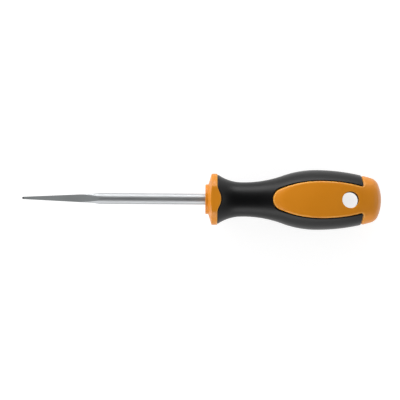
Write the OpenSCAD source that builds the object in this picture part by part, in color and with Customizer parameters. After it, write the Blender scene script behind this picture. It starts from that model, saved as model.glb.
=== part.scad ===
// Bradawl with a square tapered point, in a two-material moulded handle.
// X is the tool's axis: the tip points to -X and the butt to +X. The origin is on that axis, at the nose
// of the handle. The hanging hole and the two windows of the handle face +Z and -Z.

/* [Blade] */
// Length of blade that stands out of the handle
blade_len = 100; // [70:1:150]
// Diameter of the round shank
shank_d = 6; // [5.4:0.1:8]
// Length of the straight square taper, from the tip
taper_len = 34; // [20:1:45]
// Width across the flats where the straight taper ends
taper_w = 4.45; // [3:0.05:5]
// Width of the point where its four end bevels start
tip_w = 1.3; // [0.8:0.1:2]
// Width of the blunt end of the tip
tip_end_w = 0.7; // [0.2:0.05:0.75]
// Length of the four small bevels that end the tip
tip_bevel_len = 0.7; // [0.3:0.1:2]
// Radius at which the flats run out onto the shank
runout_r = 90; // [30:5:120]

/* [Tang] */
// Length of tang inside the handle
tang_len = 58; // [40:1:64]
// Diameter of the tang
tang_d = 5; // [4:0.1:5.2]
// Chamfer on the end of the tang
tang_chamfer = 0.8; // [0.3:0.1:1.5]
// Width across the wings that keep the tang from turning
wing_w = 9; // [7:0.1:11]
// Length of a wing where it leaves the tang
wing_len = 10; // [6:0.5:14]
// Length of the ramp at each end of a wing
wing_ramp = 2; // [1:0.1:2.5]
// Thickness of the wings
wing_t = 1.8; // [1:0.1:3]
// Distance from the nose to the middle of the front pair of wings
wing_x = 24; // [16:0.5:30]
// Distance between the two pairs of wings
wing_pitch = 20; // [16:0.5:26]

/* [Handle outline] */
// Length of the handle, nose to butt
handle_len = 96; // [90:0.5:115]
// Diameter of the nose
nose_d = 16.2; // [12:0.1:20]
// Length of the straight nose
nose_len = 1.7; // [1:0.1:2.6]
// Distance from the nose to the front of the flange's rim
flange_front = 3.3; // [3.2:0.1:6]
// Width of the flange's rim
flange_w = 3.3; // [2:0.1:5]
// Diameter of the flange
flange_d = 28; // [27.8:0.1:34]
// Distance across the two flats of the flange
flange_flats = 24.8; // [22:0.1:26.4]
// Radius on the edges of the nose and the flange
edge_r = 0.5; // [0.2:0.1:0.9]
// Diameter of the grip's flared front edge
flare_d = 27.4; // [26.6:0.1:27.8]
// Distance from the nose to the front of the narrowest part of the neck
neck_x = 20; // [16:0.5:24]
// Length of the narrowest part of the neck
neck_land = 1; // [0.5:0.1:4]
// Diameter of the neck
neck_d = 18.8; // [17:0.1:22]
// Distance from the nose to the thickest part of the belly
belly_x = 60.5; // [54:0.5:68]
// Diameter of the belly
belly_d = 32.7; // [29:0.1:36]
// Share of the curve from neck to belly that is hollow
hollow_share = 0.533; // [0.4:0.001:0.65]
// Radius of the outline behind the belly
tail_r = 108; // [90:1:140]
// Radius of the domed butt
dome_r = 22; // [18:0.5:30]
// Radius of the corner between the sides and the domed butt
corner_r = 6; // [4:0.1:8]

/* [Windows and hanging hole] */
// Thickness of the handle over its two windows
window_t = 27.8; // [24:0.1:30]
// Radius of the windows' crown along the tool
crown_long_r = 150; // [110:1:250]
// Radius of the windows' crown across the tool
crown_cross_r = 60; // [40:1:120]
// Distance from the nose to the front tip of a window
window_x = 36.7; // [30:0.1:40]
// Distance from the nose to the widest part of a window
window_wide_x = 63.5; // [56:0.5:70]
// Width of a window
window_w = 20.4; // [18:0.1:23]
// Width of a window between the ends of the legs
window_end_w = 15; // [12:0.1:16.5]
// Radius of a window's front tip
window_tip_r = 6.5; // [4:0.1:7.5]
// Diameter of the hanging hole
hole_d = 9; // [5:0.1:11]
// Distance from the butt to the middle of the hanging hole
hole_back = 16.9; // [13:0.1:22]

/* [Grip] */
// Wall of the soft grip
grip_wall = 2.2; // [1.2:0.1:3]
// Length of butt that the grip leaves bare
butt_len = 9.2; // [6:0.1:11]
// Radius of the curve, seen from above, on which the legs end
leg_end_r = 55; // [30:1:90]
// Radius on the inner corner of each leg's end
leg_corner_r = 1; // [0.5:0.1:2]

/* [Hidden] */
$fn = 96;

// How far cuts run past what they cut
overrun = 1;
// Gap between pieces that are moulded on each other
mould_gap = 0.02;

// Straight pieces that stand for each curve of an outline
flare_steps = 12;
swell_steps = 9;
tail_steps = 7;
corner_steps = 12;
dome_steps = 6;
edge_steps = 4;
leg_corner_steps = 6;
tip_steps = 10;
side_steps = 8;
runout_steps = 6;
pad_steps = 8;

shank_r = shank_d / 2;
taper_h = taper_w / 2;
tip_h = tip_w / 2;
tip_end_h = tip_end_w / 2;
tang_r = tang_d / 2;
wing_top_len = wing_len - 2 * wing_ramp;

nose_r = nose_d / 2;
flange_r = flange_d / 2;
flat_h = flange_flats / 2;
flange_rear = flange_front + flange_w;
cone_angle = atan2(flange_r - nose_r, flange_front - nose_len);
neck_r = neck_d / 2;
neck_end = neck_x + neck_land;
belly_r = belly_d / 2;
belly_span = belly_d + 2 * overrun;
hole_x = handle_len - hole_back;

// The hollow flare from the flange down to the neck
flare_run = neck_x - flange_rear;
flare_rise = (flare_d - neck_d) / 2;
flare_r = (pow(flare_run, 2) + pow(flare_rise, 2)) / (2 * flare_rise);
flare_angle = asin(flare_run / flare_r);
flare_c = [neck_x, neck_r + flare_r];

// The hollow and the crest from the neck up to the belly, which meet at one slope
swell_run = belly_x - neck_end;
swell_rise = belly_r - neck_r;
swell_r = (pow(swell_run, 2) + pow(swell_rise, 2)) / (2 * swell_rise);
swell_angle = asin(swell_run / swell_r);
hollow_r = swell_r * hollow_share;
hollow_c = [neck_end, neck_r + hollow_r];
crest_r = swell_r - hollow_r;
crest_c = [belly_x, belly_r - crest_r];

// The tail behind the belly, the domed butt, and the corner that rounds one into the other
tail_c = [belly_x, belly_r - tail_r];
dome_c = [handle_len - dome_r, 0];
corner_c = meet(tail_c, tail_r - corner_r, dome_c, dome_r - corner_r);
tail_angle = atan2(corner_c[0] - tail_c[0], corner_c[1] - tail_c[1]);
dome_angle = atan2(corner_c[0] - dome_c[0], corner_c[1] - dome_c[1]);

// Half of the width of the flange's flats where they meet the flare
pad_h = sqrt(pow(flare_d / 2, 2) - pow(flat_h, 2));

// The curve on which the legs of the grip end
leg_end_c = [handle_len - butt_len - leg_end_r, 0];
window_end_h = window_end_w / 2;
leg_end_x = leg_end_c[0] + sqrt(pow(leg_end_r, 2) - pow(window_end_h, 2));

// The sides of a window: a front arc from its tip, and a rear arc to the ends of the legs
window_h = window_w / 2;
window_tip_c = [window_x + window_tip_r, 0];
front_run = window_wide_x - window_tip_c[0];
front_r = (pow(front_run, 2) + pow(window_h, 2) - pow(window_tip_r, 2)) / (2 * (window_h - window_tip_r));
front_c = [window_wide_x, window_h - front_r];
front_angle = atan2(window_tip_c[0] - front_c[0], window_tip_c[1] - front_c[1]);
rear_run = leg_end_x - leg_corner_r - window_wide_x;
rear_rise = window_h - window_end_h;
rear_r = (pow(rear_run, 2) + pow(rear_rise, 2)) / (2 * rear_rise);
rear_c = [window_wide_x, window_h - rear_r];

// The corner that rounds the side of a window into the end of a leg
leg_corner_c = meet(rear_c, rear_r + leg_corner_r, leg_end_c, leg_end_r - leg_corner_r);
rear_angle = atan2(leg_corner_c[0] - rear_c[0], leg_corner_c[1] - rear_c[1]);
leg_corner_angle = atan2(leg_end_c[0] - leg_corner_c[0], leg_end_c[1] - leg_corner_c[1]);

// The point at r1 from c1 and r2 from c2, on the butt's side of the line between them
function meet(c1, r1, c2, r2) =
    let (d = norm(c2 - c1), u = (c2 - c1) / d, along = (r1 * r1 - r2 * r2 + d * d) / (2 * d))
    c1 + along * u + sqrt(r1 * r1 - along * along) * [u[1], -u[0]];

// Points [along, out] on an arc about c, from angle a0 to a1 off the outward direction.
// A negative radius gives the inward side of the circle, for a hollow curve.
function arc(c, r, a0, a1, steps, first = 1) =
    [for (i = [first : steps]) let (a = a0 + (a1 - a0) * i / steps) c + r * [sin(a), cos(a)]];

// The outline of the handle's round body, from the flare to the butt, drawn in by inset
function body_outline(inset) = concat(
    arc(flare_c, -flare_r - inset, flare_angle, 0, flare_steps, first = 0),
    arc(hollow_c, -hollow_r - inset, 0, -swell_angle, swell_steps, first = 0),
    arc(crest_c, crest_r - inset, -swell_angle, 0, swell_steps),
    arc(tail_c, tail_r - inset, 0, tail_angle, tail_steps),
    arc(corner_c, corner_r - inset, tail_angle, dome_angle, corner_steps),
    arc(dome_c, dome_r - inset, dome_angle, 90, dome_steps)
);

// The outline of the nose, the cone and the rim of the flange
nose_outline = concat(
    arc([edge_r, nose_r - edge_r], edge_r, -90, 0, edge_steps, first = 0),
    [[nose_len, nose_r]],
    arc([flange_front + edge_r, flange_r - edge_r], edge_r, -cone_angle, 0, edge_steps, first = 0),
    arc([flange_rear - edge_r, flange_r - edge_r], edge_r, 0, 90, edge_steps, first = 0)
);

// The upper edge of a window, from its tip to past the ends of the legs, grown by grow
function window_edge(grow) = concat(
    arc(window_tip_c, window_tip_r + grow, -90, front_angle, tip_steps, first = 0),
    arc(front_c, front_r + grow, front_angle, 0, side_steps),
    arc(rear_c, rear_r + grow, 0, rear_angle, side_steps),
    arc(leg_corner_c, grow - leg_corner_r, rear_angle, leg_corner_angle, leg_corner_steps)
);

// Distance from the nose at which the flare has a given radius
function flare_x(r) = neck_x - sqrt(pow(flare_r, 2) - pow(flare_c[1] - r, 2));

// The edge of a flat where it runs out on the flare, grown by grow
function pad_edge(grow) =
    [for (i = [0 : pad_steps]) let (side = cos(90 * i / pad_steps))
        [flare_x(norm([flat_h, pad_h * side])) + grow, (pad_h + grow) * side]];

// Turns an outline about the tool's axis
module turned(outline) {
    rotate([0, 90, 0])
        rotate_extrude()
            polygon([
                [0, outline[0][0]],
                each [for (p = outline) if (p[1] > 0) [p[1], p[0]]],
                [0, outline[len(outline) - 1][0]]
            ]);
}

// An edge and its mirror image about the tool's axis, as one closed outline
function both_sides(edge) =
    concat(edge, [for (i = [len(edge) - 1 : -1 : 0]) if (edge[i][1] > 0) [edge[i][0], -edge[i][1]]]);

// An edge seen from above, mirrored about the tool's axis and raised through the whole handle
module raised(edge) {
    translate([0, 0, -belly_span / 2])
        linear_extrude(belly_span)
            polygon(both_sides(edge));
}

// All that the grip leaves bare behind the neck: the windows and the butt, grown by grow
module bare_plan(grow) {
    edge = window_edge(grow);
    last = edge[len(edge) - 1];
    raised(concat(edge, [[handle_len + overrun, last[1]]]));
    translate([0, 0, -belly_span / 2])
        linear_extrude(belly_span)
            difference() {
                translate([belly_x, -belly_span / 2])
                    square([handle_len + overrun - belly_x, belly_span]);
                translate(leg_end_c)
                    circle(r = leg_end_r - grow);
            }
}

// What lies above the crowned surface of the upper window
module above_window() {
    ring_w = window_t + overrun;
    difference() {
        translate([neck_end, -belly_span / 2, 0])
            cube([handle_len + overrun - neck_end, belly_span, belly_span]);
        translate([belly_x, 0, window_t / 2 - crown_long_r])
            rotate([90, 0, 0])
                rotate_extrude()
                    intersection() {
                        translate([crown_long_r - crown_cross_r, 0])
                            circle(r = crown_cross_r);
                        translate([crown_long_r - ring_w, -belly_span / 2 - overrun])
                            square([ring_w + overrun, belly_span + 2 * overrun]);
                    }
    }
}

// What lies beyond the upper flat of the flange
module above_flat() {
    translate([-overrun, -flange_r - overrun, flat_h])
        cube([neck_x + overrun, flange_d + 2 * overrun, flange_r]);
}

// The pads that carry the flange's two flats back into the flare, grown by grow
module flat_pads(grow) {
    edge = pad_edge(grow);
    raised(concat([[flange_rear - edge_r, edge[0][1]]], edge));
}

// A square bar between the ground flats of the point, open past the end of the shank
module point_flats() {
    slope = atan2(taper_h - tip_h, taper_len - tip_bevel_len);
    taper_end = [taper_len - blade_len, taper_h];
    runout_c = taper_end + runout_r * [-sin(slope), cos(slope)];
    runout_end = acos((runout_c[1] - shank_r - overrun) / runout_r);
    edge = concat(
        [[-blade_len, tip_end_h], [tip_bevel_len - blade_len, tip_h], taper_end],
        arc(runout_c, -runout_r, -slope, -runout_end, runout_steps),
        [[overrun, shank_r + overrun]]
    );
    linear_extrude(shank_d + 2 * overrun, center = true)
        polygon(both_sides(edge));
}

// The tang with its two pairs of wings, grown by grow, reaching forward of the nose by front
module tang(grow, front) {
    rotate([0, 90, 0]) {
        translate([0, 0, -front])
            cylinder(r = tang_r + grow, h = front + tang_len - tang_chamfer);
        translate([0, 0, tang_len - tang_chamfer])
            cylinder(r1 = tang_r + grow, r2 = tang_r - tang_chamfer + grow, h = tang_chamfer + grow);
    }
    for (i = [0, 1])
        translate([wing_x + i * wing_pitch, 0, 0])
            linear_extrude(wing_t + 2 * grow, center = true)
                polygon([
                    [-wing_len / 2 - grow, 0],
                    [-wing_top_len / 2 - grow, wing_w / 2 + grow],
                    [wing_top_len / 2 + grow, wing_w / 2 + grow],
                    [wing_len / 2 + grow, 0],
                    [wing_top_len / 2 + grow, -wing_w / 2 - grow],
                    [-wing_top_len / 2 - grow, -wing_w / 2 - grow]
                ]);
}

module blade() {
    color([0.72, 0.74, 0.76]) {
        intersection() {
            translate([-blade_len, 0, 0])
                rotate([0, 90, 0])
                    cylinder(r = shank_r, h = blade_len);
            point_flats();
            rotate([90, 0, 0])
                point_flats();
        }
        tang(0, overrun);
    }
}

module handle_core() {
    color([0.8, 0.48, 0.08])
        difference() {
            union() {
                turned(nose_outline);
                turned(body_outline(grip_wall));
                flat_pads(0);
                intersection() {
                    turned(body_outline(0));
                    bare_plan(0);
                }
            }
            above_window();
            mirror([0, 0, 1])
                above_window();
            above_flat();
            mirror([0, 0, 1])
                above_flat();
            tang(mould_gap, overrun);
            translate([hole_x, 0, -belly_span / 2])
                cylinder(d = hole_d, h = belly_span);
        }
}

module grip() {
    color([0.13, 0.13, 0.14])
        difference() {
            turned(body_outline(0));
            turned(body_outline(grip_wall - mould_gap));
            bare_plan(mould_gap);
            flat_pads(mould_gap);
        }
}

blade();
handle_core();
grip();
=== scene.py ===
"""Looks of a bradawl: a ground steel blade, a hard orange core and a soft black grip moulded over it.

Lengths are in metres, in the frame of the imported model. X is the tool's axis, with the tip towards -X and
the nose of the handle at the origin. The two windows of the handle face up and down.
"""

import logging
import math
from dataclasses import dataclass
from enum import Enum
from functools import cached_property
from typing import Optional, Sequence, Union

import bmesh
import bpy
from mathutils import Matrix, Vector


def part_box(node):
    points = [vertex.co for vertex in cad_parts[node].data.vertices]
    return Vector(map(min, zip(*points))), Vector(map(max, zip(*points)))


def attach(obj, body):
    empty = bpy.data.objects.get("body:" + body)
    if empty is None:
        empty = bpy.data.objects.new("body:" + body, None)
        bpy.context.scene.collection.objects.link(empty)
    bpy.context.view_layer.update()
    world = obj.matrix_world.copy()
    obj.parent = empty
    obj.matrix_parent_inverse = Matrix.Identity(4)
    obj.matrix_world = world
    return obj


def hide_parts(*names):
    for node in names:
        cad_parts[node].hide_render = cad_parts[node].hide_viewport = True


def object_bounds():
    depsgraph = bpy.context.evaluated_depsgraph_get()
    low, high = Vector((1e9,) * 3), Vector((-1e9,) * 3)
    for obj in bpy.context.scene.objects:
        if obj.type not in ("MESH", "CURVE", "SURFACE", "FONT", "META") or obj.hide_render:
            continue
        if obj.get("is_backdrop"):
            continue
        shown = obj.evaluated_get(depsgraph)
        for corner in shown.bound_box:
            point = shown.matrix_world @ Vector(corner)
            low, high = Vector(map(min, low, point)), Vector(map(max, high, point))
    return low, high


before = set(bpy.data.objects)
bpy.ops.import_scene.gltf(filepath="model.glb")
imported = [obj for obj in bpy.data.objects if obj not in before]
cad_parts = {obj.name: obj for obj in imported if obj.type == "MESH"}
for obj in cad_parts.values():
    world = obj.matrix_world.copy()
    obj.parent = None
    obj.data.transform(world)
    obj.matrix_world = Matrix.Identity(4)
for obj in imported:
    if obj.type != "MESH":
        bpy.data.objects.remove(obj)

MM = 0.001
QUARTER = math.pi / 2
BODY = "root"
JOIN = 0.001 * MM
EDGE = "edge"
BORE = "bore"
# The middle value of a noise
MIDDLE = 0.5

log = logging.getLogger("bradawl")

Value = Union["Wire", float, Sequence[float], Sequence["Wire"]]
Grid = list[list[Vector]]
Loop = list[bmesh.types.BMVert]


class Slot(Enum):
    """The record's material slots."""

    STEEL = "steel"
    CORE = "orange_plastic"
    GRIP = "black_soft_plastic"


class Maths(Enum):
    """The operations of the Math node that the formulas use."""

    ADD = "ADD"
    SUBTRACT = "SUBTRACT"
    MULTIPLY = "MULTIPLY"
    DIVIDE = "DIVIDE"
    POWER = "POWER"
    ABSOLUTE = "ABSOLUTE"
    GREATER = "GREATER_THAN"
    LEAST = "MINIMUM"
    MOST = "MAXIMUM"
    SOFT_LEAST = "SMOOTH_MIN"
    SOFT_MOST = "SMOOTH_MAX"
    SINE = "SINE"
    COSINE = "COSINE"
    ROUND = "ROUND"


class Wire:
    """The output of a node, with the operators of the formulas that read it."""

    def __init__(self, tree: "Tree", socket: Optional[bpy.types.NodeSocket]) -> None:
        """Keeps the tree and the socket, which is None for a node without outputs."""
        self.tree = tree
        self.socket = socket

    def maths(self, operation: Maths, *values: Value) -> "Wire":
        """The result of a Math node on the values."""
        return self.tree.node("ShaderNodeMath", {"operation": operation.value}, dict(enumerate(values)))

    def __add__(self, other: Value) -> "Wire":
        """This value plus another."""
        return self.maths(Maths.ADD, self, other)

    __radd__ = __add__

    def __sub__(self, other: Value) -> "Wire":
        """This value less another."""
        return self.maths(Maths.SUBTRACT, self, other)

    def __rsub__(self, other: Value) -> "Wire":
        """Another value less this one."""
        return self.maths(Maths.SUBTRACT, other, self)

    def __mul__(self, other: Value) -> "Wire":
        """This value times another."""
        return self.maths(Maths.MULTIPLY, self, other)

    __rmul__ = __mul__

    def __truediv__(self, other: Value) -> "Wire":
        """This value over another."""
        return self.maths(Maths.DIVIDE, self, other)

    def __rtruediv__(self, other: Value) -> "Wire":
        """Another value over this one."""
        return self.maths(Maths.DIVIDE, other, self)

    def __pow__(self, other: Value) -> "Wire":
        """This value to a power."""
        return self.maths(Maths.POWER, self, other)

    def __rpow__(self, other: Value) -> "Wire":
        """Another value to the power of this one."""
        return self.maths(Maths.POWER, other, self)

    def __abs__(self) -> "Wire":
        """This value without its sign."""
        return self.maths(Maths.ABSOLUTE, self)

    def __gt__(self, other: Value) -> "Wire":
        """One where this value is the greater, and zero elsewhere."""
        return self.maths(Maths.GREATER, self, other)

    def __lt__(self, other: Value) -> "Wire":
        """One where this value is the lesser, and zero elsewhere."""
        return self.maths(Maths.GREATER, other, self)

    def ramp(self, low: float, high: float) -> "Wire":
        """A smooth step from 0 at low to 1 at high, where high may be the smaller."""
        sockets = {"Value": self, "From Min": low, "From Max": high}
        return self.tree.node("ShaderNodeMapRange", {"interpolation_type": "SMOOTHSTEP"}, sockets)

    def sibling(self, key: Union[int, str]) -> "Wire":
        """Another output of the same node."""
        return Wire(self.tree, pick(self.socket.node.outputs, key))

    def split(self) -> tuple["Wire", "Wire", "Wire"]:
        """The three coordinates of a vector."""
        first = self.tree.node("ShaderNodeSeparateXYZ", sockets={0: self})
        return first, first.sibling(1), first.sibling(2)


def pick(sockets: Sequence[bpy.types.NodeSocket], key: Union[int, str]) -> bpy.types.NodeSocket:
    """Finds a socket that is in use.

    Args:
        sockets: The node's inputs or outputs.
        key: The socket's index, or its name.

    Returns:
        The socket.
    """
    if isinstance(key, int):
        return sockets[key]
    return next(s for s in sockets if s.name == key and s.enabled)


class Tree:
    """A node tree, and the one way in which nodes are added to it."""

    def __init__(self, nodes: bpy.types.NodeTree) -> None:
        """Keeps the tree and empties it."""
        self.nodes = nodes
        nodes.nodes.clear()

    def node(
        self,
        kind: str,
        settings: Optional[dict[str, object]] = None,
        sockets: Optional[dict[Union[int, str], Value]] = None,
        output: Union[int, str] = 0,
    ) -> Wire:
        """Adds a node.

        Args:
            kind: The node's type.
            settings: Its properties, set before its sockets.
            sockets: Values or wires for its inputs, by index or name.
            output: The index or name of the output that is wanted.

        Returns:
            That output.
        """
        made = self.nodes.nodes.new(kind)
        for name, value in (settings or {}).items():
            setattr(made, name, value)
        for key, value in (sockets or {}).items():
            self.feed(pick(made.inputs, key), value)
        return Wire(self, pick(made.outputs, output) if made.outputs else None)

    def feed(self, socket: bpy.types.NodeSocket, value: Value) -> None:
        """Links a wire, or a list of wires, to a socket, or sets its value.

        Args:
            socket: The socket.
            value: The wire, the list of wires or the plain value.
        """
        wires = value if isinstance(value, list) else [value]
        if not isinstance(wires[0], Wire):
            socket.default_value = value
            return
        for wire in wires:
            self.nodes.links.new(wire.socket, socket)


class FinishTree(Tree):
    """The node tree of a new material."""

    def __init__(self, name: str) -> None:
        """Makes the material and empties its tree.

        Args:
            name: The material's name.
        """
        self.material = bpy.data.materials.new(name)
        self.material.use_nodes = True
        super().__init__(self.material.node_tree)

    def close(self, shader: Wire) -> bpy.types.Material:
        """Ends the tree with a shader, and gives the finished material."""
        self.node("ShaderNodeOutputMaterial", sockets={"Surface": shader})
        return self.material

    def colour(self, factor: Value, low: Value, high: Value) -> Wire:
        """A mix of two colours, from low where the factor is 0 to high where it is 1."""
        sockets = {"Factor": factor, "A": low, "B": high}
        return self.node("ShaderNodeMix", {"data_type": "RGBA"}, sockets, "Result")

    def place(self) -> Wire:
        """The point on the piece, in the model's own frame."""
        return self.node("ShaderNodeTexCoord", output="Object")

    def mask(self, name: str) -> Wire:
        """A value that the mesh's points carry."""
        return self.node("ShaderNodeAttribute", {"attribute_name": name}, output="Fac")

    def noise(self, stretch: Sequence[float], detail: float = 2.0) -> Wire:
        """Noise on Object coordinates.

        Args:
            stretch: The size of its features along X, Y and Z.
            detail: How many finer layers it has.

        Returns:
            A value about one half.
        """
        scale = [1.0 / size for size in stretch]
        fitted = self.node("ShaderNodeMapping", sockets={"Vector": self.place(), "Scale": scale})
        return self.node("ShaderNodeTexNoise", sockets={"Vector": fitted, "Scale": 1.0, "Detail": detail})


class ShapeTree(Tree):
    """A Geometry Nodes tree with named inputs, and the plain mesh that it gives."""

    def __init__(self, name: str, sizes: dict[str, Union[int, float]]) -> None:
        """Makes the tree.

        Args:
            name: The tree's name.
            sizes: The value of each named input.
        """
        group = bpy.data.node_groups.new(name, "GeometryNodeTree")
        super().__init__(group)
        group.interface.new_socket("Geometry", in_out="OUTPUT", socket_type="NodeSocketGeometry")
        group.interface.new_socket("Geometry", in_out="INPUT", socket_type="NodeSocketGeometry")
        self.values = {}
        for label, value in sizes.items():
            kind = "NodeSocketInt" if isinstance(value, int) else "NodeSocketFloat"
            socket = group.interface.new_socket(label, in_out="INPUT", socket_type=kind)
            self.values[socket.identifier] = value
        self.given = self.node("NodeGroupInput")

    def size(self, label: str) -> Wire:
        """The named input."""
        return self.given.sibling(label)

    def vector(self, x: Value, y: Value = 0.0, z: Value = 0.0) -> Wire:
        """A vector of three values."""
        return self.node("ShaderNodeCombineXYZ", sockets={0: x, 1: y, 2: z})

    def moved(self, geometry: Wire, position: Wire) -> Wire:
        """A mesh with its points put in their new places."""
        return self.node("GeometryNodeSetPosition", sockets={"Geometry": geometry, "Position": position})

    def close(self, geometry: Wire, material: bpy.types.Material) -> None:
        """Ends the tree with real meshes and their material.

        Args:
            geometry: The finished geometry.
            material: Its material.
        """
        real = self.node("GeometryNodeRealizeInstances", sockets={"Geometry": geometry})
        dressed = self.node("GeometryNodeSetMaterial", sockets={"Geometry": real, "Material": material})
        self.node("NodeGroupOutput", sockets={0: dressed})

    def mesh(self, base: bpy.types.Mesh) -> bpy.types.Mesh:
        """Runs the tree.

        Args:
            base: The mesh that goes in.

        Returns:
            What comes out, as a plain mesh.
        """
        holder = bpy.data.objects.new(self.nodes.name, base)
        bpy.context.scene.collection.objects.link(holder)
        modifier = holder.modifiers.new(self.nodes.name, "NODES")
        modifier.node_group = self.nodes
        for identifier, value in self.values.items():
            modifier[identifier] = value
        made = holder.evaluated_get(bpy.context.evaluated_depsgraph_get())
        result = bpy.data.meshes.new_from_object(made)
        bpy.data.objects.remove(holder)
        return result


@dataclass(frozen=True)
class GroundSteel:
    """Bright turned steel with a ground point.

    The flats of the point lie closer to the axis than the shank's own surface, which tells them apart.
    """

    name: str
    shank_r: float
    tip_x: float
    colour: tuple[float, ...] = (0.41, 0.42, 0.43, 1.0)
    flat_colour: tuple[float, ...] = (0.435, 0.455, 0.462, 1.0)
    # A near-black colour painted over the last stretch of the point: painted shade at the tip
    tip_shade_colour: tuple[float, ...] = (0.02, 0.02, 0.022, 1.0)
    tip_shade_len: float = 1.3 * MM
    flat_depth: float = 0.05 * MM
    shank_roughness: float = 0.52
    flat_roughness: float = 0.57
    mark_depth: float = 0.012 * MM
    mark_strength: float = 0.5
    # Sizes of the marks along, across and up the blade
    polish_size: tuple[float, ...] = (0.12 * MM, 3 * MM, 3 * MM)
    grinding_size: tuple[float, ...] = (0.16 * MM, 1.6 * MM, 1.6 * MM)
    handling_size: tuple[float, ...] = (9 * MM, 4 * MM, 4 * MM)
    polish_share: float = 0.25
    # How far grinding varies the tone, and how far grinding and handling vary the roughness
    grinding_tone: float = 0.36
    grinding_gloss: float = 0.2
    handling_gloss: float = 0.12

    def material(self) -> bpy.types.Material:
        """Builds the nodes of the finish.

        Returns:
            The finished material.
        """
        tree = FinishTree(self.name)
        along, across, up = tree.place().split()
        radius = (across * across + up * up) ** 0.5
        flat = radius.ramp(self.shank_r - self.flat_depth / 4, self.shank_r - self.flat_depth)
        # How far the painted shade at the tip covers the steel, full over its last stretch
        tip = along.ramp(self.tip_x + self.tip_shade_len, self.tip_x + self.tip_shade_len / 3)
        polish = tree.noise(self.polish_size, detail=3.0)
        grinding = tree.noise(self.grinding_size, detail=4.0)
        handling = tree.noise(self.handling_size, detail=3.0)
        ground = (grinding - MIDDLE) * flat
        tone = tree.colour(flat + ground * self.grinding_tone, self.colour, self.flat_colour)
        roughness = self.shank_roughness + (self.flat_roughness - self.shank_roughness) * flat
        wear = (handling - MIDDLE) * self.handling_gloss + ground * self.grinding_gloss
        marks = polish * self.polish_share * (1 - flat) + grinding * flat
        bump = tree.node("ShaderNodeBump", sockets={
            "Strength": self.mark_strength, "Distance": self.mark_depth, "Height": marks})
        shader = tree.node("ShaderNodeBsdfPrincipled", sockets={
            "Base Color": tree.colour(tip, tone, self.tip_shade_colour),
            "Metallic": 1.0,
            "Roughness": roughness + wear,
            "Normal": bump})
        return tree.close(shader)


@dataclass(frozen=True)
class Moulding:
    """A moulded plastic with a fine spark-eroded grain, a parting line, rolled edges painted lighter as
    rubbed wear and painted highlight, and bores made rougher and painted darker as painted shade.
    """

    name: str
    colour: tuple[float, ...]
    deep_colour: tuple[float, ...]
    # Lighter colour of rolled edges: partly rubbed wear, partly a painted highlight
    rub_and_highlight_colour: tuple[float, ...]
    roughness: float
    grain_size: float
    grain_depth: float
    specular: float = 0.5
    bore_shade: float = 0.35
    bore_roughness: float = 0.5
    # How far rolled edges take the lighter colour of wear and painted highlight
    rub_and_highlight_share: float = 0.5
    # The values of the patches between which an edge goes from whole to rubbed and painted lighter, partly
    # as a painted highlight
    rub_range: tuple[float, float] = (0.25, 0.65)
    patch_size: float = 11 * MM
    patch_share: float = 0.7
    # How far patches, grain and rubbing vary the roughness
    patch_gloss: float = 0.14
    grain_gloss: float = 0.1
    rub_gloss: float = 0.08
    line_w: float = 0.12 * MM
    line_h: float = 0.03 * MM

    def material(self) -> bpy.types.Material:
        """Builds the nodes of the finish.

        Returns:
            The finished material.
        """
        tree = FinishTree(self.name)
        patches = tree.noise([self.patch_size] * 3, detail=3.0)
        grain = tree.noise([self.grain_size] * 3, detail=2.0)
        edge, bore = tree.mask(EDGE), tree.mask(BORE)
        # Rolled edges are painted lighter in patches: partly rubbed wear, partly a painted highlight
        rub_and_highlight = edge * (1 - bore) * self.rub_and_highlight_share * patches.ramp(*self.rub_range)
        # Bores are painted darker: painted shade inside the hanging hole
        bore_shade_colour = [c * self.bore_shade for c in self.deep_colour[:3]] + [1.0]
        up = tree.place().split()[2]
        parting = abs(up).ramp(self.line_w, self.line_w / 4)
        mottle = patches * self.patch_share + grain * (1 - self.patch_share)
        tone = tree.colour(mottle, self.deep_colour, self.colour)
        worn_and_highlit = tree.colour(rub_and_highlight, tone, self.rub_and_highlight_colour)
        dulled = (patches - MIDDLE) * self.patch_gloss + (grain - MIDDLE) * self.grain_gloss
        gloss = self.roughness + dulled - rub_and_highlight * self.rub_gloss
        relief = grain * self.grain_depth + parting * self.line_h
        bump = tree.node("ShaderNodeBump", sockets={"Strength": 1.0, "Distance": 1.0, "Height": relief})
        shader = tree.node("ShaderNodeBsdfPrincipled", sockets={
            "Base Color": tree.colour(bore, worn_and_highlit, bore_shade_colour),
            "Roughness": gloss + bore * self.bore_roughness,
            "Specular IOR Level": self.specular,
            "Normal": bump})
        return tree.close(shader)


@dataclass(frozen=True)
class PaleFloor:
    """A pale matt floor, a little brighter to the eye than the light on it."""

    name: str = "pale_floor"
    colour: tuple[float, ...] = (0.42, 0.42, 0.42, 1.0)
    lift: float = 0.78

    def material(self) -> bpy.types.Material:
        """Builds the nodes of the finish.

        Returns:
            The finished material.
        """
        tree = FinishTree(self.name)
        seen = tree.node("ShaderNodeLightPath", output="Is Camera Ray")
        shown = seen + seen.sibling("Is Glossy Ray") + seen.sibling("Is Transmission Ray")
        matt = tree.node("ShaderNodeBsdfDiffuse", sockets={"Color": self.colour})
        glow = tree.node("ShaderNodeEmission", sockets={"Strength": shown * self.lift})
        both = tree.node("ShaderNodeAddShader", sockets={0: matt, 1: glow})
        return tree.close(both)


def spread(start: float, end: float, steps: int) -> list[float]:
    """Evenly spaced values from start to end, both included."""
    return [start + (end - start) * i / steps for i in range(steps + 1)]


def smooth(share: float) -> float:
    """A smooth step from 0 to 1."""
    share = min(max(share, 0.0), 1.0)
    return share * share * (3 - 2 * share)


def soft_least(a: float, b: float, softness: float) -> float:
    """The lesser of two values, with the corner rounded where they differ by less than softness."""
    near = max(softness - abs(a - b), 0.0) / softness
    return min(a, b) - near * near * softness / 4


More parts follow.
